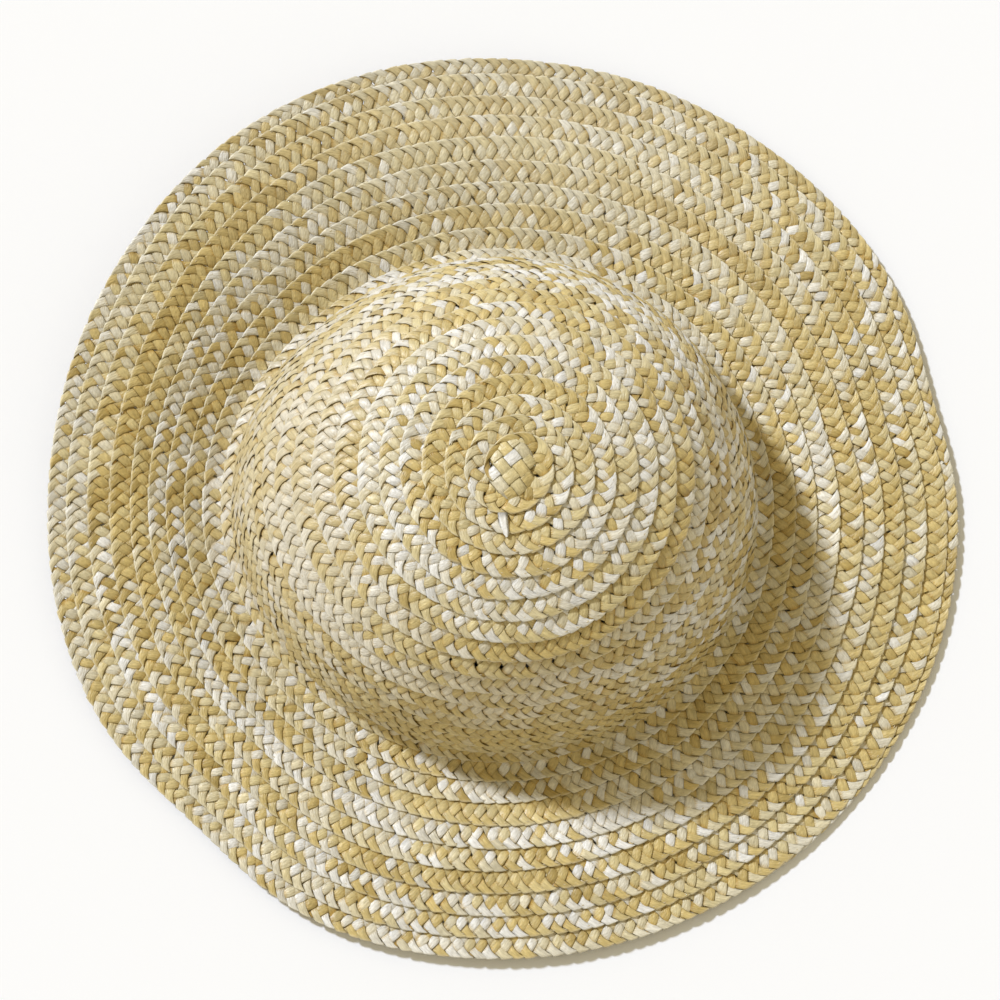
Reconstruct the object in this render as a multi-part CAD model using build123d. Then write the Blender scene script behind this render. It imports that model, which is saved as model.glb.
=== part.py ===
"""Wide-brimmed straw sun hat, sewn from one long spiral of flat straw plait.

Frame: the hat stands on its brim. The origin is the centre of the brim's footprint, +Z points up
through the crown's tip, and Z = 0 is the surface that the brim rests on. Lengths are millimetres.

Each turn of the spiral is one closed ring of plait. A turn lies on top of the next one out, like a
shingle, so every ring leans: its hidden inner edge dips under the ring before it.
"""

import os
from math import cos, radians, sin

from build123d import *

# ---------------------------------------------------------------- driving dimensions
PLAIT_THICKNESS = 1.1
PLAIT_LAP = 2.8  # how far each turn reaches under the turn before it
LAYER_GAP = 0.12  # air between two lapped turns

TIP_HALF_WIDTH = 9.0  # the folded start of the plait is a small oval
TIP_HALF_LENGTH = 12.5
TIP_RISE = 0.6  # underside of the folded start, above the profile's top point
FIRST_SEAM = 16.5  # distance from the tip to the outer edge of the first turn
CROWN_PITCH = 8.25  # distance between seams on the crown
BRIM_PITCH = 8.5  # distance between seams on the brim
CROWN_TURNS = 17
BRIM_TURNS = 9

# The hat's side view from the tip outwards, as arcs: the length along the straw and the heading
# at the arc's end, in degrees below the horizontal.
PROFILE = [
    (30.0, 8.0),  # nearly flat top
    (30.0, 27.0),
    (24.0, 53.0),  # shoulder of the dome
    (30.0, 71.0),
    (26.0, 81.0),  # side of the crown, flaring to its base
    (12.0, -8.0),  # the turn into the brim
    (14.0, -8.0),  # brim rising outwards
    (16.0, 0.0),
    (18.0, 11.0),  # brim falling to its edge
    (25.0, 0.0),
]
EDGE_HEIGHT = 1.45  # the profile's height at the brim's edge

FOOT_RISE = 0.6  # the last turn's hidden edge steps up off the floor, which leaves room for thread
FOOT_STEP_START = 1.9  # from the hidden edge to the start of that step
FOOT_STEP_END = 3.9

SECTION_STATIONS = 8  # points along each face of a ring's section

THREAD_RADIUS = 0.2
THREAD_GAP = 0.05

BAND_TOP = 112.0  # the sweatband's upper and lower edges, as distances from the tip
BAND_BOTTOM = 140.0
BAND_THICKNESS = 0.7
BAND_DEPTH = 1.75  # from the profile to the band's face against the straw
BAND_SEAM = 137.0


# ---------------------------------------------------------------- profile
def walk(distance):
    """Radius, height change and heading after a distance along the profile."""
    radius, height, heading = 0.0, 0.0, 0.0
    for length, end_degrees in PROFILE:
        end = radians(end_degrees)
        step = min(distance, length)
        bend = (end - heading) / length
        turned = heading + bend * step
        if abs(bend) < 1e-9:
            radius += step * cos(heading)
            height -= step * sin(heading)
        else:
            radius += (sin(turned) - sin(heading)) / bend
            height += (cos(turned) - cos(heading)) / bend
        distance -= step
        heading = turned
        if distance <= 0:
            break
    return radius, height, heading


PROFILE_LENGTH = sum(length for length, _ in PROFILE)
TOP_HEIGHT = EDGE_HEIGHT - walk(PROFILE_LENGTH)[1]


def on_profile(distance, offset=0.0):
    """A point in the XZ plane at a distance from the tip, offset outwards from the profile."""
    radius, height, heading = walk(distance)
    return Vector(radius + offset * sin(heading), 0, TOP_HEIGHT + height + offset * cos(heading))


def stations(start, end, count=SECTION_STATIONS):
    """Evenly spaced distances from start to end."""
    return [start + (end - start) * step / (count - 1) for step in range(count)]


# ---------------------------------------------------------------- rings
def ring(upper, lower):
    """A closed ring whose section lies between two smooth curves through the given points."""
    outline = [
        Spline(*upper),
        Line(upper[-1], lower[-1]),
        Spline(*reversed(lower)),
        Line(lower[0], upper[0]),
    ]
    return revolve(Face(Wire(outline)), Axis.Z)


def lean(distance, inner, outer, pitch):
    """Offset of a leaning turn's middle surface from the profile."""
    slope = (PLAIT_THICKNESS + LAYER_GAP) / pitch
    return slope * (distance - (inner + outer) / 2)


def plait_turn(inner, outer, pitch):
    """One turn of plait between its hidden inner edge and its outer edge."""
    half = PLAIT_THICKNESS / 2
    places = stations(inner, outer)
    upper = [on_profile(s, lean(s, inner, outer, pitch) + half) for s in places]
    lower = [on_profile(s, lean(s, inner, outer, pitch) - half) for s in places]
    return ring(upper, lower)


def foot_turn(inner, outer):
    """The outermost turn: flat on the floor, with its hidden edge stepped up."""
    steps = [
        (inner, FOOT_RISE),
        (inner + FOOT_STEP_START, FOOT_RISE),
        (inner + FOOT_STEP_END, 0.0),
        (outer, 0.0),
    ]
    lower = [Vector(walk(s)[0], 0, rise) for s, rise in steps]
    upper = [point + Vector(0, 0, PLAIT_THICKNESS) for point in lower]
    outline = Polyline(*lower, *reversed(upper), close=True)
    return revolve(Face(Wire(outline.edges())), Axis.Z)


def tip_start():
    """The plait's folded start: a small flat oval on top of the first turn."""
    oval = Plane.XY.offset(TOP_HEIGHT + TIP_RISE) * Ellipse(TIP_HALF_WIDTH, TIP_HALF_LENGTH)
    return extrude(oval, PLAIT_THICKNESS)


def thread_ring(distance, depth):
    """A line of stitches as one thin ring of thread, at a depth inside the profile."""
    centre = on_profile(distance, -depth)
    return revolve(Plane.XZ * Pos(centre.X, centre.Z) * Circle(THREAD_RADIUS), Axis.Z)


def sweatband():
    """The fabric band inside the base of the crown."""
    places = stations(BAND_TOP, BAND_BOTTOM)
    outer_face = [on_profile(s, -BAND_DEPTH) for s in places]
    inner_face = [on_profile(s, -BAND_DEPTH - BAND_THICKNESS) for s in places]
    return ring(outer_face, inner_face)


# ---------------------------------------------------------------- the whole hat
def turn_edges():
    """Name, hidden inner edge, outer edge and pitch of every turn, from the tip outwards."""
    edges = [("crown_turn_01", TIP_HALF_WIDTH - PLAIT_LAP, FIRST_SEAM, CROWN_PITCH)]
    seam = FIRST_SEAM
    for number in range(2, CROWN_TURNS + 1):
        edges.append((f"crown_turn_{number:02d}", seam - PLAIT_LAP, seam + CROWN_PITCH, CROWN_PITCH))
        seam += CROWN_PITCH
    for number in range(1, BRIM_TURNS + 1):
        edges.append((f"brim_turn_{number:02d}", seam - PLAIT_LAP, seam + BRIM_PITCH, BRIM_PITCH))
        seam += BRIM_PITCH
    return edges


def thread_rings(edges):
    """One ring of thread under each lapped seam, against the inside of the hat."""
    rings = []
    for _, inner, outer, pitch in edges:
        seam = inner + PLAIT_LAP / 2
        face = lean(seam, inner, outer, pitch) - PLAIT_THICKNESS / 2
        rings.append(thread_ring(seam, THREAD_RADIUS + THREAD_GAP - face))
    return rings


def foot_thread(inner):
    """The last seam's thread, in the step under the outermost turn."""
    radius = walk(inner + PLAIT_LAP / 2)[0]
    height = FOOT_RISE - THREAD_GAP - THREAD_RADIUS
    return revolve(Plane.XZ * Pos(radius, height) * Circle(THREAD_RADIUS), Axis.Z)


def build():
    """Every piece of the hat by its node name."""
    edges = turn_edges()
    crown = edges[:CROWN_TURNS]
    brim = edges[CROWN_TURNS:]
    parts = {"crown_tip_start": tip_start()}
    for name, inner, outer, pitch in edges[:-1]:
        parts[name] = plait_turn(inner, outer, pitch)
    foot_name, foot_inner, foot_outer, _ = edges[-1]
    parts[foot_name] = foot_turn(foot_inner, foot_outer)
    parts["crown_sewing_thread"] = Compound(thread_rings(crown[1:]))
    parts["brim_sewing_thread"] = Compound(thread_rings(brim[:-1]) + [foot_thread(foot_inner)])
    parts["sweatband"] = sweatband()
    band_face = BAND_DEPTH + BAND_THICKNESS
    parts["sweatband_thread"] = thread_ring(BAND_SEAM, band_face + THREAD_GAP + THREAD_RADIUS)
    return parts


os.makedirs("parts", exist_ok=True)
for node, shape in build().items():
    export_step(shape, f"parts/{node}.step")
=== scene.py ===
"""Straw sun hat: one spiral of flat straw plait, woven strand by strand and sewn along its laps.

The hat is laid out along its side view (the profile) and round its axis. Lengths in this script are
millimetres until a mesh is made. A place on the hat is its distance from the tip along the profile,
its azimuth, and its offset outwards from the profile. A place on the plait has three coordinates:
  teeth   how far along the plait, in steps of one strand,
  across  0 at the plait's hidden inner edge, PLAIT_WIDTH at its outer edge,
  height  above or below the plait's middle surface.
"""

from math import cos, pi, radians, sin

import bpy
import numpy as np
from mathutils import Matrix, Vector


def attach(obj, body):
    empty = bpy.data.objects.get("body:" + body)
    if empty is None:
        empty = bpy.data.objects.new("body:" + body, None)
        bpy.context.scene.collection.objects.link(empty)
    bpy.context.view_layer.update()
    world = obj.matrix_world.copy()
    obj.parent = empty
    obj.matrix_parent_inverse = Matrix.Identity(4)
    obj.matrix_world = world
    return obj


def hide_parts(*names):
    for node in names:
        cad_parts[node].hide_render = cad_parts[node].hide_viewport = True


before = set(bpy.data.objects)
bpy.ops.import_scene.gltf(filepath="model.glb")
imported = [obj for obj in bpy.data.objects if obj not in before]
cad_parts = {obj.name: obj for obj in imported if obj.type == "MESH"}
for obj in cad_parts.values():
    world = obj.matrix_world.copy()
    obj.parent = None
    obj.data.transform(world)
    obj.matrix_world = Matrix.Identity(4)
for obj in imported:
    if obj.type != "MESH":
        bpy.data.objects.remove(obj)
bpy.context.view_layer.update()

MM = 0.001
rng = np.random.default_rng(20)

# ---------------------------------------------------------------- the hat's shape, as in the CAD
# Arcs of the side view from the tip outwards: length, and heading at the end in degrees below level.
PROFILE = [
    (30.0, 8.0),  # nearly flat top
    (30.0, 27.0),
    (24.0, 53.0),  # shoulder of the dome
    (30.0, 71.0),
    (26.0, 81.0),  # side of the crown
    (12.0, -8.0),  # the turn into the brim
    (14.0, -8.0),
    (16.0, 0.0),
    (18.0, 11.0),  # brim falling to its edge
    (25.0, 0.0),
]
PROFILE_STEP = 0.05
CROWN_TURNS = 17
BRIM_TURNS = 9
TURNS = CROWN_TURNS + BRIM_TURNS
LAP = 2.8  # how far a turn reaches under the one before it
LEAN = 1.05  # how far a turn's outer edge stands above the next turn out
EDGE_HEIGHT = 1.5  # the profile's height at the brim's edge

# ---------------------------------------------------------------- the plait
TOOTH = 4.8  # length of plait per strand
PLAIT_WIDTH = 11.2
SHOWN_WIDTH = PLAIT_WIDTH - LAP
COLUMNS = 4  # crossings of a strand, from edge to edge
BUNCHED = 0.22  # how far the crossings are drawn towards the plait's edges
ENDS = 7  # straws in the plait: a colour comes back after this many teeth
WEAVE = 0.28  # how far a strand swings up and down
DOME = 0.34  # how far a strand's back stands above its sides
STRAW = 0.13  # thickness of a strand's sides
JAG = 0.30  # how far a tooth's corner stands out of the plait's outer edge
SCALLOP = 0.22  # how far a tooth's sides stand in from its middle at that edge
PINCH = 0.05  # how much narrower a strand is between crossings
FOLD = 0.75  # width of the rounding where a strand folds at the plait's edge

END_AZIMUTH = radians(-62)  # where the plait's outer end lies
TAPER_TURNS = 0.19  # the stretch over which the plait's end slips under the turn before it
START_HOLE = 2.6  # the plait starts round a hole of this radius, which its cut ends fill

# Place of the plait's outer edge along the profile, by turns from the start.
SEAM_TURNS = [-1.0, 0.0, 1.0, 17.0, 25.0, 26.0]
SEAM_PLACES = [8.5, 15.2, 22.8, 153.5, 220.9, 224.9]
SEAM_DRIFT = 0.22  # how far the seam wanders
NARROWEST_PITCH = 6.0
TIGHTEST_RADIUS = 5.0  # the plait's middle line bends no tighter than this
TABLE_STEPS = 20000

# ---------------------------------------------------------------- how the real hat departs from round
# Each row is a size in millimetres, and the azimuth and spread in degrees over which it holds.
BRIM_LIFTS = [
    (15.0, 138, 50),  # turned up
    (1.2, -95, 40),
]
BRIM_RIPPLE = 0.5  # height of three soft waves round the brim
BRIM_GROWTH = 0.7
BRIM_OVAL, OVAL_BEARING = 0.8, 0.95  # how far from round the brim is, and the bearing in radians
BRIM_BULGES = [
    (3.2, 120, 24),
    (-6.0, -134, 13),  # a bite in the outline
    (1.0, -35, 34),
    (-3.8, 15, 10),  # a smaller bite
    (1.7, 72, 42),
    (-1.7, -85, 32),
]
CROWN_FLARES = [
    (7.5, 180, 42),  # pushed out on one side
    (-2.0, -62, 50),
]
START_AXIS = (cos(radians(52)), sin(radians(52)))  # the innermost turns are drawn out along this
START_STRETCH = 0.28
START_REACH = 15.0  # place where that stretch has mostly gone


def smooth(x):
    """A smooth step from 0 to 1."""
    x = np.clip(x, 0.0, 1.0)
    return x * x * (3 - 2 * x)


def step_up(x, start, end):
    """0 up to start, 1 from end, and smooth between them."""
    return smooth((x - start) / (end - start))


def profile_table():
    """Distance, radius, height and heading at close steps along the profile."""
    distance, radius, height, heading = [0.0], [0.0], [0.0], [0.0]
    for length, end_degrees in PROFILE:
        start, end = heading[-1], radians(end_degrees)
        count = int(round(length / PROFILE_STEP))
        for number in range(1, count + 1):
            middle = start + (end - start) * (number - 0.5) / count
            distance.append(distance[-1] + length / count)
            radius.append(radius[-1] + length / count * cos(middle))
            height.append(height[-1] - length / count * sin(middle))
            heading.append(start + (end - start) * number / count)
    height = np.array(height)
    return np.array(distance), np.array(radius), height - height[-1] + EDGE_HEIGHT, np.array(heading)


DISTANCE, RADIUS, HEIGHT, HEADING = profile_table()


def lobe(azimuth, middle, width):
    """1 at an azimuth in degrees, fading to 0 over a width either side of it."""
    away = (np.degrees(azimuth) - middle + 180) % 360 - 180
    return np.exp(-((away / width) ** 2))


def lobes(azimuth, rows):
    """Sum of lobes, each given as its size, middle and width."""
    return sum(size * lobe(azimuth, middle, width) for size, middle, width in rows)


def waves(radius, azimuth):
    """How far the brim is lifted: it turns up on one side and waves a little elsewhere."""
    ripple = BRIM_RIPPLE * (np.cos(3 * azimuth - 1.0) + 1)
    return step_up(radius, 98.0, 178.0) * (lobes(azimuth, BRIM_LIFTS) + ripple)


def widen(radius, azimuth):
    """How much further out than round the brim and the crown's side reach."""
    brim = step_up(radius, 100.0, 180.0)
    side = step_up(radius, 55.0, 90.0) * (1 - step_up(radius, 102.0, 152.0))
    oval = BRIM_OVAL * np.cos(2 * (azimuth - OVAL_BEARING))
    bulge = BRIM_GROWTH + oval + lobes(azimuth, BRIM_BULGES)
    return brim * bulge + side * lobes(azimuth, CROWN_FLARES)


def on_hat(place, azimuth, offset):
    """Points of the hat from places, azimuths and offsets."""
    radius = np.interp(place, DISTANCE, RADIUS)
    height = np.interp(place, DISTANCE, HEIGHT)
    heading = np.interp(place, DISTANCE, HEADING)
    radius = radius + offset * np.sin(heading)
    height = height + offset * np.cos(heading) + waves(radius, azimuth)
    radius = radius + widen(radius, azimuth)
    x, y = radius * np.cos(azimuth), radius * np.sin(azimuth)
    along = (x * START_AXIS[0] + y * START_AXIS[1]) * START_STRETCH * np.exp(-((place / START_REACH) ** 2))
    return np.stack([x + along * START_AXIS[0], y + along * START_AXIS[1], height], axis=-1)


# ---------------------------------------------------------------- the spiral
def wobble(turns):
    """A slow uneven drift along the plait."""
    angle = turns * 2 * pi
    slow = np.sin(angle * 2.7 + 0.4)
    middling = 0.7 * np.sin(angle * 6.3 + 0.84)
    quick = 0.5 * np.sin(angle * 11.9 + 1.48)
    return SEAM_DRIFT * (slow + middling + quick)


def seam(turns):
    """Place of the outer edge of the plait, were it full width to the end."""
    return np.interp(turns, SEAM_TURNS, SEAM_PLACES) + wobble(turns) * smooth(turns / 3.0)


def pitch_at(turns):
    return np.maximum(seam(turns) - seam(turns - 1), NARROWEST_PITCH)


def outer_edge(turns):
    """Place of the plait's outer edge, which slips under the turn before it at the end."""
    last = seam(turns - 1)
    left = smooth((TURNS - turns) / TAPER_TURNS)
    return np.where(turns > TURNS - TAPER_TURNS, last + left * (seam(turns) - last), seam(turns))


def inner_edge(turns):
    """Place of the plait's hidden inner edge."""
    inner = np.where(turns < 0, START_HOLE, seam(turns - 1) - LAP)
    slipped = np.minimum(inner, outer_edge(turns) - PLAIT_WIDTH + 1.0)
    return np.maximum(np.where(turns > TURNS - TAPER_TURNS, slipped, inner), START_HOLE)


def lean(turns, place):
    """Offset of a turn's middle surface from the profile: each turn lies on top of the next one out."""
    pitch = pitch_at(turns)
    return LEAN / pitch * (place - seam(turns) + (pitch + LAP) / 2)


def azimuth_at(turns):
    return END_AZIMUTH - turns * 2 * pi


def run_along(turns, radius):
    """Length along the spiral up to each of the given turns."""
    steps = np.diff(turns) * 2 * pi * 0.5 * (radius[1:] + radius[:-1])
    return np.concatenate([[0], np.cumsum(steps)])


def teeth_table():
    """Turns at close steps along the plait, and the number of teeth up to each."""
    turns = np.linspace(-1.0, TURNS, TABLE_STEPS)
    middle = outer_edge(turns) - SHOWN_WIDTH / 2
    radius = np.maximum(np.interp(middle, DISTANCE, RADIUS), TIGHTEST_RADIUS)
    return turns, run_along(turns, radius) / TOOTH


TURN_STEPS, TEETH_STEPS = teeth_table()


def turns_at(teeth):
    return np.interp(teeth, TEETH_STEPS, TURN_STEPS)


def teeth_at(turns):
    return int(np.ceil(np.interp(turns, TURN_STEPS, TEETH_STEPS)))


def place_plait(teeth, across, height):
    """Points of places on the plait."""
    turns = turns_at(teeth)
    inner = inner_edge(turns)
    place = inner + across / PLAIT_WIDTH * (outer_edge(turns) - inner)
    return on_hat(place, azimuth_at(turns), lean(turns, place) + height)


# ---------------------------------------------------------------- straw colours, linear RGB
UMBER = (0.50, 0.37, 0.125)
GOLD = (0.63, 0.495, 0.205)
STRAW_YELLOW = (0.68, 0.58, 0.31)
CREAM = (0.705, 0.64, 0.455)
PALE = (0.74, 0.70, 0.58)
SILVER = (0.82, 0.81, 0.77)
PALETTE = np.array([UMBER, GOLD, GOLD, STRAW_YELLOW, CREAM, PALE, SILVER, SILVER])
PALETTE_STOPS = np.array([0.0, 0.12, 0.28, 0.44, 0.60, 0.76, 0.92, 1.0])
PAINTED_DIVE_SHADE = np.array([0.80, 0.66, 0.40])  # painted shade: multiplies a strand's colour where it dives under another, where shade falls
FOLD_HIGHLIGHT = np.array([0.80, 0.76, 0.62])  # painted highlight: the pale colour the folds are lightened towards, for the bright rim they catch
FOLD_HIGHLIGHT_STRENGTH = 0.40  # how strongly the painted highlight lightens the folds
FOLD_HIGHLIGHT_WIDTH = 0.9  # width of the painted highlight at the plait's edge
PAINTED_SIDE_SHADE = 0.22  # painted shade: how much darker a strand's rounded sides are
TONE_SPREAD = 0.055
RETURNS = 0.52  # chance that a straw comes back after ENDS teeth
ALIKE = 0.42  # chance that a new straw is like the one before it
# Parts of the hat whose strands are drawn towards one colour, partly as painted shade: the middle azimuth
# and its spread in degrees, the first and last place along the profile, the colour that they tend to, and
# how strongly.
EVEN_PARTS = [
    (172, 52, 64, 153, (0.59, 0.50, 0.305), 0.64),  # the crown's sunlit left side, toned down: painted shade
    (-93, 40, 72, 150, (0.60, 0.475, 0.19), 0.55),  # its front side, which is in shade, warmed to gold: painted warm shade
    (88, 36, 165, 250, (0.79, 0.74, 0.57), 0.45),  # the back of the brim, paler
]
EVEN_FADE = 24.0  # millimetres over which such a part begins and ends


def straw_keys(count):
    """A key from 0 to 1 for each straw seen at the plait's edge: 0 is dark and 1 is silver.

    A straw comes back every ENDS teeth until another is spliced in, and straws are laid in beside
    ones like them, so alike colours come in small groups."""
    keys = rng.random(count)
    change = rng.random(count)
    copied = rng.random(count)
    for number in range(ENDS, count):
        if change[number] < RETURNS:
            keys[number] = keys[number - ENDS]
        elif copied[number] < ALIKE:
            keys[number] = keys[number - 1]
    return keys


def palette(keys):
    """Colour of each strand from its key."""
    colour = np.stack([np.interp(keys, PALETTE_STOPS, PALETTE[:, c]) for c in range(3)], axis=-1)
    return colour * rng.normal(1.0, TONE_SPREAD, len(keys))[:, None]


# What differs from strand to strand.
STRAND_COUNT = teeth_at(TURNS) + 16
KEYS = straw_keys(STRAND_COUNT)
HALVES = [palette(np.clip(KEYS + rng.normal(0, 0.05, STRAND_COUNT), 0, 1)) for _ in range(2)]
SHIFT = rng.normal(0, 0.085, STRAND_COUNT)  # along the plait, in teeth
WIDE = rng.uniform(0.89, 1.08, STRAND_COUNT)  # width, in teeth
ROLL = rng.normal(0, 0.13, (2, STRAND_COUNT))  # height of one side over the middle
LIFT = rng.normal(0, 0.06, (2, STRAND_COUNT))  # height of the whole strand
JAGGED = np.clip(rng.normal(1.0, 0.35, STRAND_COUNT), 0.1, 2.0)  # share of JAG

# ---------------------------------------------------------------- strands
STRAND_ANGLE = radians(50)  # between a strand and the plait's edges
SWING_SHARPNESS = 1.7
BACK_ROUNDNESS = 2.3  # the power with which a strand's back falls to its sides
FIBRE_HALF_STEP, FIBRE_STRAND_STEP = 40, 7.3  # these set strands apart in the fibre pattern
# Stations along a strand, close together where it folds over at the plait's edges.
ACROSS = np.array(
    [0.0, 0.3, 0.8, 1.6, 2.4, 3.2, 4.0, 4.7, 5.3, 5.9, 6.5]
    + [7.1, 7.7, 8.3, 8.9, 9.5, 10.1, 10.6, 10.9, 11.08, PLAIT_WIDTH]
)
SECTION_SIDE = np.array([-1.0, -0.78, -0.42, 0.0, 0.42, 0.78, 1.0, 0.55, -0.55])
SECTION_BACK = np.array([1, 1, 1, 1, 1, 1, 1, 0, 0])


def columns(across):
    """Crossings passed, across the plait from its inner edge."""
    return COLUMNS * across / PLAIT_WIDTH + BUNCHED * np.sin(2 * pi * across / PLAIT_WIDTH)


def swing(phase):
    """The up and down swing of a strand: +1 over a crossing, -1 under it."""
    return np.tanh(SWING_SHARPNESS * np.cos(pi * phase)) / np.tanh(SWING_SHARPNESS)


def back_shape(side, back):
    """Height of a strand's section over its sides, as a share of DOME."""
    return (1 - np.abs(side) ** BACK_ROUNDNESS) * back


def strand_swing(side, across, rising):
    """Swing of a strand, and how far it has opened out from the fold at the plait's edge."""
    phase = np.clip(columns(across) + (side if rising else -side), 1.0, COLUMNS - 1.0)
    up = swing(phase) if rising else -swing(phase)
    to_edge = np.clip(np.minimum(across, PLAIT_WIDTH - across) / FOLD, 0, 1)
    return up, np.sqrt(1 - (1 - to_edge) ** 2)


def strand_colour(own, up, side, across):
    """Colour over a strand: painted shade where it dives under another strand and along its rounded sides,
    and a painted highlight on the fold at the plait's outer edge.
    """
    # painted shade: the strand is darker where it dives under another and full colour where it rides over
    lit = step_up(up, -0.64, 0.36)[..., None]
    # painted shade on the strand's rounded sides
    sides = 1 - PAINTED_SIDE_SHADE * np.abs(side[..., None]) ** 3
    # painted highlight along the fold at the plait's outer edge
    fold = FOLD_HIGHLIGHT_STRENGTH * step_up(across, PLAIT_WIDTH - FOLD_HIGHLIGHT_WIDTH, PLAIT_WIDTH)[..., None]
    colour = own * (PAINTED_DIVE_SHADE + (1 - PAINTED_DIVE_SHADE) * lit) * sides
    return colour * (1 - fold) + FOLD_HIGHLIGHT * fold


def evened(colour, number):
    """The strands' own colours, drawn towards set tones in parts of the hat: painted shade on the crown's
    sunlit left side and its shaded front side, and a paler back of the brim.
    """
    turns = turns_at(number + COLUMNS / 2)
    place, azimuth = seam(turns), azimuth_at(turns)
    for middle, spread, first, last, tone, strength in EVEN_PARTS:
        begun = smooth((place - first) / EVEN_FADE + 0.5)
        ended = smooth((place - last) / EVEN_FADE + 0.5)
        share = strength * begun * (1 - ended) * lobe(azimuth, middle, spread)
        colour = colour + (np.array(tone) - colour) * share[:, None]
    return colour


def strands(first, last, rising):
    """Grid of points, colours and fibre coordinates of the strands between two teeth.

    Rising strands run outwards as they go along the plait, and the others run back inwards."""
    number = np.arange(first, last)
    own = number if rising else number + COLUMNS
    row = 0 if rising else 1
    each = number[:, None, None]
    across, side, back = ACROSS[None, :, None], SECTION_SIDE[None, None, :], SECTION_BACK[None, None, :]
    half = 0.5 * WIDE[each] * side * (1 - PINCH * np.sin(pi * columns(across)) ** 2)
    up, opened = strand_swing(half, across, rising)

    moved, ahead = SHIFT[each], columns(across) / 2
    if not rising:
        moved = moved + (SHIFT[each + COLUMNS] - SHIFT[each]) * (1 - across / PLAIT_WIDTH)
        ahead = COLUMNS - ahead
    near_edge = smooth(columns(across) - COLUMNS + 1)
    jag = near_edge * (JAG * JAGGED[each] * side - SCALLOP * side**2)
    tilt = (ROLL[row][each] * side + LIFT[row][each]) * opened
    dome = DOME * back_shape(side, back) * (0.4 + 0.6 * opened)
    height = WEAVE * up * opened + dome - STRAW * (1 - back) + tilt
    points = place_plait(*np.broadcast_arrays(each + moved + half + ahead, across + jag, height))

    own_colour = evened(HALVES[row][own], number)[:, None, None, :]
    colour = strand_colour(own_colour, *np.broadcast_arrays(up, side, across))
    run = across / sin(STRAND_ANGLE) + FIBRE_HALF_STEP * row
    fibre = np.broadcast_arrays(run, half * TOOTH, own[:, None, None] * FIBRE_STRAND_STEP)
    return points, colour, np.stack(fibre, axis=-1)


class Batch:
    """Vertices, faces and attributes gathered for one mesh."""

    def __init__(self):
        self.points, self.quads, self.colours, self.fibres = [], [], [], []
        self.count = 0

    def tubes(self, points, colour, fibre, flip=False):
        """Adds tubes from grids of tube, station and place round the section."""
        tube, station, ring, _ = points.shape
        grid = np.arange(tube * station * ring).reshape(tube, station, ring) + self.count
        after = np.roll(grid, -1, axis=2)
        quads = np.stack([grid[:, :-1], after[:, :-1], after[:, 1:], grid[:, 1:]], axis=-1).reshape(-1, 4)
        self.quads.append(quads[:, ::-1] if flip else quads)
        self.points.append(points.reshape(-1, 3))
        self.colours.append(np.broadcast_to(colour, points.shape).reshape(-1, 3))
        self.fibres.append(np.broadcast_to(fibre, points.shape).reshape(-1, 3))
        self.count += tube * station * ring
        return grid

    def build(self, name, material, slot, *nodes):
        """Makes the mesh piece, which stands for the named CAD nodes."""
        points = np.concatenate(self.points)
        quads = np.concatenate(self.quads)
        mesh = bpy.data.meshes.new(name)
        mesh.vertices.add(len(points))
        mesh.vertices.foreach_set("co", (points * MM).astype(np.float32).ravel())
        mesh.loops.add(quads.size)
        mesh.loops.foreach_set("vertex_index", quads.astype(np.int32).ravel())
        mesh.polygons.add(len(quads))
        mesh.polygons.foreach_set("loop_start", np.arange(0, quads.size, 4, dtype=np.int32))
        mesh.update(calc_edges=True)
        mesh.shade_smooth()
        layer = mesh.attributes.new("straw_colour", "FLOAT_COLOR", "POINT")
        rgba = np.ones((len(points), 4), np.float32)
        rgba[:, :3] = np.clip(np.concatenate(self.colours), 0, 1)
        layer.data.foreach_set("color", rgba.ravel())
        layer = mesh.attributes.new("fibre", "FLOAT_VECTOR", "POINT")
        layer.data.foreach_set("vector", np.concatenate(self.fibres).astype(np.float32).ravel())
        mesh.materials.append(material)
        piece = bpy.data.objects.new(name, mesh)
        bpy.context.scene.collection.objects.link(piece)
        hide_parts(*nodes)
        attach(piece, "root")
        return piece


def add_strands(batch, first_turn, last_turn):
    """Adds the plait between two turns, strand by strand."""
    first, last = teeth_at(first_turn), teeth_at(last_turn)
    for rising in (True, False):
        points, colour, fibre = strands(first, last, rising)
        batch.tubes(points, colour, fibre, flip=not rising)


# ---------------------------------------------------------------- loose splint ends
SPLINT_STATIONS = np.linspace(0, 1, 9)
SPLINT_SIDE = np.array([-1.0, -0.4, 0.4, 1.0, 0.5, -0.5])
SPLINT_BACK = np.array([0.4, 1.0, 1.0, 0.4, 0.0, 0.0])
SPLINT_THICKNESS = 0.16
SPLINT_SPACING = 11  # teeth between the trimmed ends inside the hat


def add_splint(batch, place, azimuth, heading, length, width, offsets, key, curl=0.0):
    """Adds one cut end of straw that narrows to a point.

    heading turns from straight out along the profile towards increasing azimuth. offsets are the
    splint's heights off the profile at its root and its tip, and curl lifts one side of it."""
    u = SPLINT_STATIONS[:, None]
    side = SPLINT_SIDE[None, :]
    half = 0.5 * width * np.sqrt(np.clip(1.02 - u, 0, 1)) * side
    outwards = u * length * cos(heading) - half * sin(heading)
    sideways = u * length * sin(heading) + half * cos(heading)
    radius = max(float(np.interp(place, DISTANCE, RADIUS)), 4.0)
    rise = offsets[0] + (offsets[1] - offsets[0]) * u**1.5
    height = rise + SPLINT_THICKNESS * SPLINT_BACK[None, :] + curl * side * u
    points = on_hat(place + outwards, azimuth + sideways / radius, height)[None]
    # painted shade: the splint is darker towards its root, where it comes out of the plait
    colour = palette(np.array([key]))[0] * (0.55 + 0.45 * smooth(u * 4))[..., None]
    fibre = np.stack(np.broadcast_arrays(u * length, half, 3.0 * place), axis=-1)
    batch.tubes(points, colour[None], fibre[None])


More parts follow.
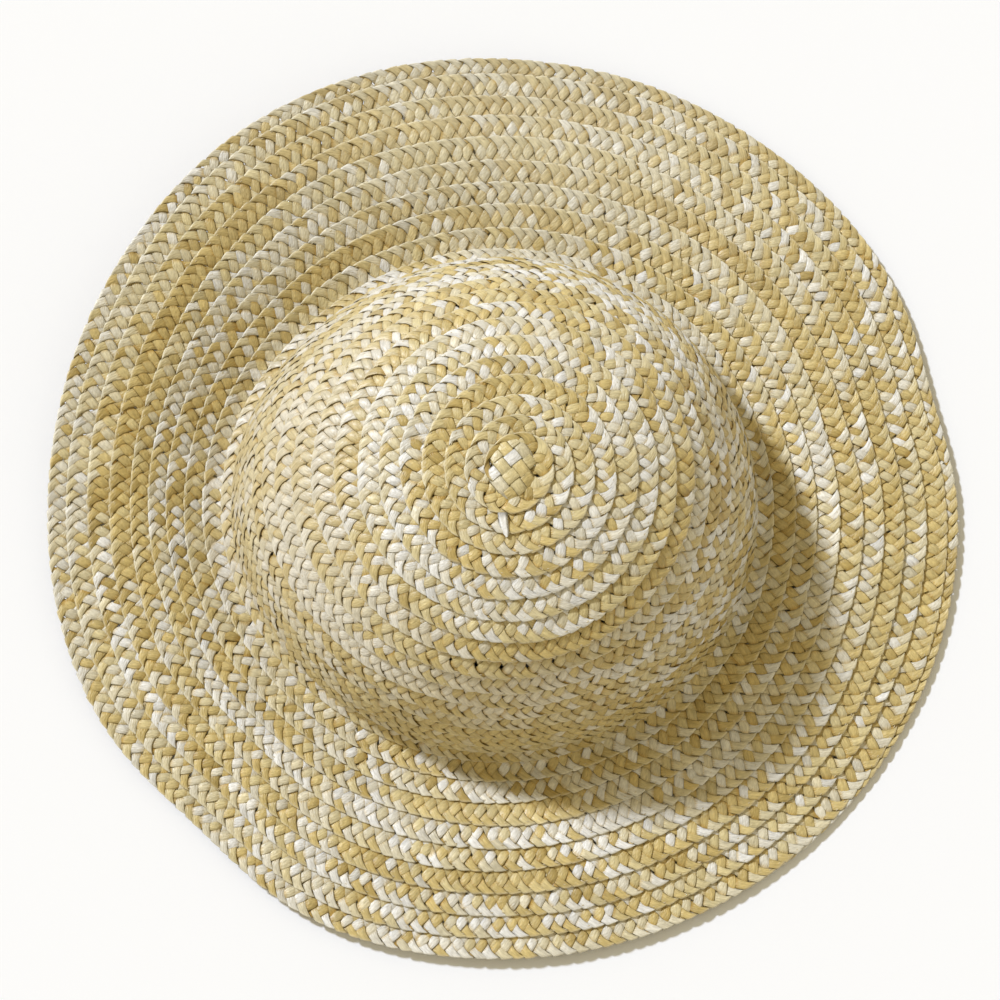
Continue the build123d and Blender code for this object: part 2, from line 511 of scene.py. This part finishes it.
def add_lining_splints(batch, first_turn, last_turn):
    """Adds the trimmed ends of spliced straws, which stand out a little inside the hat."""
    count = max(1, int((teeth_at(last_turn) - teeth_at(first_turn)) / SPLINT_SPACING))
    for turns in np.sort(rng.uniform(first_turn, last_turn, count)):
        place = float(seam(turns)) - rng.uniform(3.6, 7.0)
        inside = float(lean(turns, place)) - WEAVE - STRAW
        heading = rng.choice([-1, 1]) * radians(rng.uniform(35, 60))
        offsets = (inside + 0.25, inside - rng.uniform(0.3, 1.1))
        length, width = rng.uniform(4.0, 8.0), rng.uniform(1.6, 2.8)
        if turns < TURNS - 1.2:
            add_splint(batch, place, azimuth_at(turns), heading, length, width, offsets, rng.random())


# ---------------------------------------------------------------- the folded start, a small woven oval
START_BEARING = radians(84)  # the oval's long axis
START_HALF = (11.0, 8.2)  # half the oval's length and width
START_CENTRE = (-1.0, 0.3)
START_CELL = 4.9  # distance between strands
START_COVER = 0.47  # half a strand's width, as a share of that
START_RISE = 1.4  # the oval's height over the profile
START_DROP = 1.2  # how far its rim drops
START_WEAVE = 0.24  # how far its strands swing up and down
START_DOME = 0.8 * DOME
START_KEYS = ((0.55, 0.35, 0.45, 0.62), (0.30, 0.42, 0.90, 0.50))  # straws one way and the other
START_STATIONS = np.linspace(-1, 1, 25)[:, None]


def in_oval(flat):
    """Points of the plane in units of the oval's half length and half width."""
    long_axis = np.array([cos(START_BEARING), sin(START_BEARING)])
    short_axis = np.array([-long_axis[1], long_axis[0]])
    return np.stack([flat @ long_axis / START_HALF[0], flat @ short_axis / START_HALF[1]], axis=-1)


def oval_run(along, base):
    """Places along a line through base, from where it enters the oval to where it leaves it."""
    line, start = in_oval(along), in_oval(base)
    square, cross = line @ line, line @ start
    reach = np.sqrt(cross**2 - square * (start @ start - 1)) / square
    return reach * START_STATIONS - cross / square


def add_oval_strand(batch, family, number, count, key):
    """Adds one strand of the oval. Its two families of strands cross at right angles."""
    heading = START_BEARING + radians(45 - 90 * family)
    along, sideways = np.array([cos(heading), sin(heading)]), np.array([-sin(heading), cos(heading)])
    shift = (number - (count - 1) / 2) * START_CELL
    side, back = SECTION_SIDE[None, :], SECTION_BACK[None, :]
    half = START_COVER * START_CELL * side
    run = oval_run(along, shift * sideways)
    flat = run[..., None] * along + (shift + half)[..., None] * sideways
    over = swing(run / START_CELL + 0.5 * (count - 1)) * (-1) ** (number + family * count)
    plan = flat + START_CENTRE
    top = np.interp(np.hypot(plan[..., 0], plan[..., 1]), DISTANCE, HEIGHT)
    rim = START_RISE - START_DROP * np.linalg.norm(in_oval(flat), axis=-1) ** 4
    height = top + rim + START_WEAVE * over + START_DOME * back_shape(side, back) - STRAW * (1 - back)
    # painted shade: a strand is darker where it goes under the other family and along its sides
    shade = (0.72 + 0.28 * smooth(0.8 + over)) * (1 - PAINTED_SIDE_SHADE * np.abs(side) ** 3)
    colour = palette(np.array([key]))[0] * shade[..., None]
    fibre = np.stack(np.broadcast_arrays(run, half, 9.0 * (number + 7 * family)), axis=-1)
    points = np.concatenate([plan, height[..., None]], axis=-1)
    batch.tubes(points[None], colour[None], fibre[None])


def add_start(batch):
    """Adds the plait's folded start in the spiral's middle, and a loose bright end beside it."""
    for family, keys in enumerate(START_KEYS):
        for number, key in enumerate(keys):
            add_oval_strand(batch, family, number, len(keys), key)
    add_splint(
        batch,
        place=15.6,
        azimuth=radians(-103),
        heading=radians(12),
        length=9.5,
        width=3.4,
        offsets=(1.0, 1.5),
        key=0.98,
        curl=0.25,
    )


# ---------------------------------------------------------------- thread
STITCH = 4.4  # length of a stitch
STITCH_DRIFT = 0.12  # how unevenly the stitches lie
THREAD = 0.17  # thread radius
THREAD_SIDES = 5
THREAD_END = 0.3  # share of the radius at a stitch's ends
THREAD_COLOUR = np.array([0.66, 0.57, 0.38])
UNDER_HAT = np.array([0, 0, 40.0])  # the crown's straw faces away from a point this far under the hat
THREAD_FIBRE_STEP = 3.1  # sets stitches apart in the fibre pattern
# Share of the stitch that shows, how far it bows, how far it sinks in, and the stations along it.
INSIDE_STITCH = (0.80, 0.30, 0.12, 5)
OUTSIDE_STITCH = (0.30, 0.16, 0.10, 4)


def add_thread(batch, paths, colour):
    """Adds short round lengths of thread along paths: a grid of stitch, station and coordinate."""
    forward = np.gradient(paths, axis=1)
    forward /= np.linalg.norm(forward, axis=-1, keepdims=True)
    side = np.cross(forward, paths + UNDER_HAT)
    side /= np.linalg.norm(side, axis=-1, keepdims=True)
    up = np.cross(side, forward)
    turn = np.arange(THREAD_SIDES) * 2 * pi / THREAD_SIDES
    stations = paths.shape[1]
    thick = np.full(stations, THREAD)
    thick[[0, -1]] *= THREAD_END
    ring = np.cos(turn)[:, None] * side[:, :, None] + np.sin(turn)[:, None] * up[:, :, None]
    points = paths[:, :, None] + ring * thick[None, :, None, None]
    along = np.arange(len(paths))[:, None, None] * THREAD_FIBRE_STEP
    along = along + np.linspace(0, STITCH, stations)[None, :, None]
    fibre = np.stack(np.broadcast_arrays(along, turn[None, None, :], 0.0), axis=-1)
    tone = rng.normal(1.0, 0.06, len(paths))[:, None, None, None]
    batch.tubes(points, colour * tone, fibre)


def seam_stitches(batch, first_turn, last_turn):
    """Adds the stitches along the seam between two turns: long inside the hat, short outside it."""
    turns = np.linspace(first_turn, last_turn, 4000)
    run = run_along(turns, np.interp(seam(turns), DISTANCE, RADIUS))
    starts = np.arange(0, run[-1] - STITCH, STITCH)
    drift = rng.normal(0, STITCH_DRIFT, (len(starts), 1))
    for inside, (share, bow, sunk, stations) in ((True, INSIDE_STITCH), (False, OUTSIDE_STITCH)):
        u = np.linspace(0, 1, stations)[None, :]
        at = np.interp(starts[:, None] + STITCH * (0.5 + (u - 0.5) * share), run, turns)
        place = seam(at) - LAP / 2 + drift
        out_of_straw = bow * np.sin(pi * u) - sunk
        if inside:
            offset = lean(at + 1, place) - WEAVE - STRAW - out_of_straw
        else:
            offset = lean(at, place) + WEAVE + 0.5 * DOME + out_of_straw
        add_thread(batch, on_hat(place, azimuth_at(at), offset), THREAD_COLOUR)


# ---------------------------------------------------------------- sweatband
BAND_TOP, BAND_BOTTOM = 112.0, 140.0  # places of its edges
BAND_WIDTH = BAND_BOTTOM - BAND_TOP
BAND_DEPTH = 1.75  # from the profile to its face against the straw
BAND_THICKNESS = 0.7
BAND_SEAM = 137.0  # place of its line of stitches
BAND_LAP = 12.0  # its ends overlap by this much
BAND_RADIUS = 92.0  # at half its height
BAND_LENGTH = 2 * pi * BAND_RADIUS + BAND_LAP
BAND_BACK = radians(90)  # where its ends meet
LAP_RISE = BAND_THICKNESS + 0.08  # how far the lapped end stands off the end under it
LAP_RAMP = 4.0  # the ribbon's length over which it rises
RIB = 0.95  # distance between the ribbon's ribs
RIBS = int(BAND_LENGTH / RIB)
RIB_DEPTH = 0.11
SELVEDGE = 0.10  # how much thicker the ribbon is near its edges
BAND_ROWS = np.array([0, 0.02, 0.05, 0.09, 0.2, 0.35, 0.5, 0.65, 0.8, 0.91, 0.95, 0.98, 1.0])
BAND_COLOUR = np.array([0.66, 0.60, 0.47])
BAND_STITCH = 3.2  # length of a stitch


def band_shape(run, face, inner, rib):
    """Points of the sweatband, by the run along it, the share of its width, and which face it is."""
    lapped = smooth((run - (BAND_LENGTH - BAND_LAP - LAP_RAMP)) / LAP_RAMP) * LAP_RISE
    edge = np.minimum(face, 1 - face)
    selvedge = SELVEDGE * np.exp(-((edge - 0.03) ** 2) / 0.0004) - 0.25 * (edge < 0.001)
    ripple = 0.16 * np.sin(run * 0.21) * np.sin(run * 0.043 + 1.0) * smooth(0.45 - face)
    middle = BAND_DEPTH + BAND_THICKNESS / 2 + lapped + ripple * inner
    surface = (inner * 2 - 1) * (BAND_THICKNESS / 2 + selvedge - RIB_DEPTH * (1 - rib))
    place = BAND_TOP + BAND_WIDTH * face + 0.12 * np.sin(run * 0.11)
    return on_hat(place, BAND_BACK + run / BAND_RADIUS, -(middle + surface))


def close_ends(batch, grid):
    """Closes the ribbon's two cut ends."""
    half = len(BAND_ROWS)
    for row, flip in ((grid[0], False), (grid[-1], True)):
        front, rear = row[:half], row[half:][::-1]
        cap = np.stack([front[:-1], front[1:], rear[1:], rear[:-1]], axis=-1)
        batch.quads.append(cap[:, ::-1] if flip else cap)


def build_sweatband(material):
    """A ribbed ribbon with firm selvedges, lapped at the back of the head."""
    run = np.linspace(0, BAND_LENGTH, RIBS * 3 + 1)[:, None]
    face = np.concatenate([BAND_ROWS, BAND_ROWS[::-1]])[None, :]
    inner = np.repeat([1.0, 0.0], len(BAND_ROWS))[None, :]
    rib = 0.5 + 0.5 * np.cos(2 * pi * run / (BAND_LENGTH / RIBS))
    worn = 1 - 0.16 * smooth((face - 0.45) / 0.4) * (0.5 + 0.5 * np.sin(run * 0.017 + 0.6)) * inner
    # painted shade: the ribbon is darker in the grooves between its ribs
    colour = BAND_COLOUR * ((0.80 + 0.20 * rib) * worn)[..., None]
    fibre = np.stack(np.broadcast_arrays(run, face * BAND_WIDTH, inner * 50.0), axis=-1)
    batch = Batch()
    points = band_shape(run, face, inner, rib)
    close_ends(batch, batch.tubes(points[None], colour[None], fibre[None], flip=True)[0])
    piece = batch.build("sweatband_ribbon", material, "sweatband_fabric", "sweatband")


def build_sweatband_thread(material):
    """The line of stitches that holds the sweatband to the crown."""
    starts = np.arange(0, 2 * pi * BAND_RADIUS - BAND_STITCH, BAND_STITCH)[:, None]
    u = np.linspace(0, 1, 5)[None, :]
    run = starts + BAND_STITCH * (0.08 + 0.84 * u)
    lapped = (starts < BAND_LAP) * LAP_RISE
    depth = BAND_DEPTH + BAND_THICKNESS + lapped - 0.10 + 0.28 * np.sin(pi * u)
    place = BAND_SEAM + 0.25 * np.sin(starts * 0.05) + 0 * u
    batch = Batch()
    add_thread(batch, on_hat(place, BAND_BACK + run / BAND_RADIUS, -depth), THREAD_COLOUR * 1.1)
    batch.build("sweatband_stitches", material, "sewing_thread", "sweatband_thread")


# ---------------------------------------------------------------- materials
class Nodes:
    """A material whose colour comes from the mesh, with helpers for its nodes."""

    def __init__(self, name):
        self.material = bpy.data.materials.new(name)
        self.material.use_nodes = True
        self.tree = self.material.node_tree
        self.shader = self.tree.nodes["Principled BSDF"]

    def node(self, kind, **inputs):
        made = self.tree.nodes.new("ShaderNode" + kind)
        for socket, value in inputs.items():
            made.inputs[socket.replace("_", " ")].default_value = value
        return made

    def link(self, output, target):
        self.tree.links.new(output, target)

    def attribute(self, name):
        made = self.node("Attribute")
        made.attribute_name = name
        return made

    def stretched(self, scale):
        """The fibre coordinates, scaled along, across and between strands."""
        made = self.node("VectorMath")
        made.operation = "MULTIPLY"
        made.inputs[1].default_value = scale
        self.link(self.attribute("fibre").outputs["Vector"], made.inputs[0])
        return made.outputs[0]

    def noise(self, scale, detail):
        made = self.node("TexNoise", Scale=1.0, Detail=detail)
        self.link(self.stretched(scale), made.inputs["Vector"])
        return made.outputs["Fac"]

    def mapped(self, value, low, high, span=(0.3, 0.7)):
        made = self.node("MapRange", From_Min=span[0], From_Max=span[1], To_Min=low, To_Max=high)
        self.link(value, made.inputs["Value"])
        return made.outputs[0]

    def times(self, a, b):
        made = self.node("Math")
        made.operation = "MULTIPLY"
        self.link(a, made.inputs[0])
        self.link(b, made.inputs[1])
        return made.outputs[0]

    def tint(self, factor):
        """Sets the colour: the mesh's own, times a factor."""
        made = self.node("VectorMath")
        made.operation = "SCALE"
        self.link(self.attribute("straw_colour").outputs["Color"], made.inputs[0])
        self.link(factor, made.inputs["Scale"])
        self.link(made.outputs[0], self.shader.inputs["Base Color"])

    def bump(self, height, strength, distance):
        """Adds a bump on top of those made before."""
        made = self.node("Bump", Strength=strength, Distance=distance)
        self.link(height, made.inputs["Height"])
        for before in self.shader.inputs["Normal"].links[:]:
            self.link(before.from_socket, made.inputs["Normal"])
        self.link(made.outputs[0], self.shader.inputs["Normal"])


def straw_material():
    """Waxy split straw: fine lengthwise fibres and blotches over each strand's own colour."""
    nodes = Nodes("straw")
    fibres = nodes.noise((0.20, 6.0, 1.0), 3.0)
    blotches = nodes.noise((0.45, 0.9, 1.7), 2.0)
    creases = nodes.noise((0.75, 1.3, 1.3), 2.0)
    nodes.tint(nodes.times(nodes.mapped(fibres, 0.84, 1.08), nodes.mapped(blotches, 0.84, 1.12)))
    nodes.link(nodes.mapped(fibres, 0.28, 0.48), nodes.shader.inputs["Roughness"])
    nodes.shader.inputs["Specular IOR Level"].default_value = 0.42
    nodes.shader.inputs["Coat Weight"].default_value = 0.10
    nodes.shader.inputs["Coat Roughness"].default_value = 0.22
    nodes.bump(creases, 0.6, 0.0006)
    nodes.bump(fibres, 0.35, 0.00012)
    return nodes.material


def thread_material():
    """Matt twisted thread."""
    nodes = Nodes("thread")
    twist = nodes.noise((2.2, 1.1, 1.0), 2.0)
    nodes.tint(nodes.mapped(twist, 0.72, 1.12))
    nodes.link(nodes.mapped(twist, 0.70, 0.90), nodes.shader.inputs["Roughness"])
    nodes.bump(twist, 0.5, 0.00008)
    return nodes.material


def ribbon_material():
    """Ribbed cotton ribbon with fine warp threads and a soft sheen."""
    nodes = Nodes("ribbon")
    warp = nodes.noise((0.5, 4.5, 1.0), 2.0)
    soil = nodes.noise((0.06, 0.16, 1.0), 3.0)
    nodes.tint(nodes.times(nodes.mapped(warp, 0.86, 1.08), nodes.mapped(soil, 0.90, 1.04)))
    nodes.link(nodes.mapped(warp, 0.78, 0.92), nodes.shader.inputs["Roughness"])
    nodes.shader.inputs["Sheen Weight"].default_value = 0.25
    nodes.bump(warp, 0.4, 0.0001)
    return nodes.material


# ---------------------------------------------------------------- the whole hat
STRAW_LOOK = straw_material()
THREAD_LOOK = thread_material()


def turn_name(number):
    if number <= CROWN_TURNS:
        return f"crown_turn_{number:02d}"
    return f"brim_turn_{number - CROWN_TURNS:02d}"


def build_plait():
    """One piece for the plait's start and one for each turn."""
    batch = Batch()
    add_strands(batch, -0.95, 0.0)
    add_start(batch)
    batch.build("crown_tip_start_plait", STRAW_LOOK, "straw_plait", "crown_tip_start")
    for number in range(1, TURNS + 1):
        batch = Batch()
        last = min(number, TURNS - 0.02)
        add_strands(batch, number - 1, last)
        add_lining_splints(batch, number - 1, last)
        batch.build(turn_name(number) + "_plait", STRAW_LOOK, "straw_plait", turn_name(number))


def build_stitches():
    """The seam's stitches, as one piece for the crown and one for the brim."""
    for name, first, last in (("crown", 0.05, CROWN_TURNS), ("brim", CROWN_TURNS, TURNS - 1.02)):
        batch = Batch()
        seam_stitches(batch, first, last)
        batch.build(f"{name}_stitches", THREAD_LOOK, "sewing_thread", f"{name}_sewing_thread")


build_plait()
build_stitches()
build_sweatband(ribbon_material())
build_sweatband_thread(THREAD_LOOK)


# ---------------------------------------------------------------- stage, light and camera
SUN_AZIMUTH, SUN_ELEVATION, SUN_SPREAD = 140, 39, 6  # degrees
SUN_STRENGTH, SUN_COLOUR = 2.86, (0.95, 1.0, 1.12)
SKY_STRENGTH, SKY_COLOUR = 0.515, (1.0, 0.87, 0.58, 1)
FLOOR_COLOUR = (0.92, 0.945, 1.0, 1)
FLOOR_RADII = np.array([900.0, 1100.0, 1400.0, 1800.0, 2300.0, 3000.0, 9000.0])
FLOOR_SLOPES = np.radians([0.0, 1.0, 3.0, 6.0, 9.0, 12.0])  # between those radii
FLOOR_SIDES = 48
VIEW_DISTANCE = 1300.0
VIEW_TILT, VIEW_AZIMUTH = 10.3, -14  # degrees from straight above, and towards which side
VIEW_SCALE = 2.57  # picture widths per metre of object at the target
VIEW_TARGET = (-1.4, 3.7, 0.0)
SENSOR = 36.0


def add_sun():
    light = bpy.data.lights.new("sun", "SUN")
    light.energy = SUN_STRENGTH
    light.color = SUN_COLOUR
    light.angle = radians(SUN_SPREAD)
    sun = bpy.data.objects.new("sun", light)
    azimuth, elevation = radians(SUN_AZIMUTH), radians(SUN_ELEVATION)
    towards = Vector((cos(elevation) * cos(azimuth), cos(elevation) * sin(azimuth), sin(elevation)))
    sun.rotation_euler = towards.to_track_quat("Z", "Y").to_euler()
    bpy.context.scene.collection.objects.link(sun)


def floor_mesh():
    """A floor that is flat round the hat and rises gently far from it."""
    radii = FLOOR_RADII * MM
    heights = np.concatenate([[0.0], np.cumsum(np.diff(radii) * np.tan(FLOOR_SLOPES))])
    turn = np.arange(FLOOR_SIDES) * 2 * pi / FLOOR_SIDES
    corners = [(r * cos(a), r * sin(a), h) for r, h in zip(radii, heights) for a in turn]
    faces = [tuple(range(FLOOR_SIDES))]
    for ring in range(len(FLOOR_RADII) - 1):
        inner, outer = ring * FLOOR_SIDES, (ring + 1) * FLOOR_SIDES
        for number in range(FLOOR_SIDES):
            after = (number + 1) % FLOOR_SIDES
            faces.append((inner + number, outer + number, outer + after, inner + after))
    mesh = bpy.data.meshes.new("floor")
    mesh.from_pydata(corners, [], faces)
    mesh.shade_smooth()
    return mesh


def add_floor():
    material = bpy.data.materials.new("floor")
    material.use_nodes = True
    shader = material.node_tree.nodes["Principled BSDF"]
    shader.inputs["Base Color"].default_value = FLOOR_COLOUR
    shader.inputs["Roughness"].default_value = 0.9
    mesh = floor_mesh()
    mesh.materials.append(material)
    floor = bpy.data.objects.new("floor", mesh)
    bpy.context.scene.collection.objects.link(floor)


def add_sky():
    world = bpy.data.worlds.new("world")
    world.use_nodes = True
    background = world.node_tree.nodes["Background"]
    background.inputs["Color"].default_value = SKY_COLOUR
    background.inputs["Strength"].default_value = SKY_STRENGTH
    bpy.context.scene.world = world


def add_camera():
    tilt, azimuth = radians(VIEW_TILT), radians(VIEW_AZIMUTH)
    away = Vector((sin(tilt) * sin(azimuth), -sin(tilt) * cos(azimuth), cos(tilt)))
    data = bpy.data.cameras.new("camera")
    data.sensor_width = SENSOR
    data.lens = VIEW_SCALE * VIEW_DISTANCE * MM * SENSOR
    eye = bpy.data.objects.new("camera", data)
    eye.location = (Vector(VIEW_TARGET) + away * VIEW_DISTANCE) * MM
    right = Vector((0, 1, 0)).cross(away).normalized()
    turn = Matrix((right, away.cross(right), away)).transposed()
    eye.rotation_euler = turn.to_euler()
    bpy.context.scene.collection.objects.link(eye)
    bpy.context.scene.camera = eye


add_sun()
add_sky()
add_floor()
add_camera()
bpy.context.scene.view_settings.view_transform = "Standard"
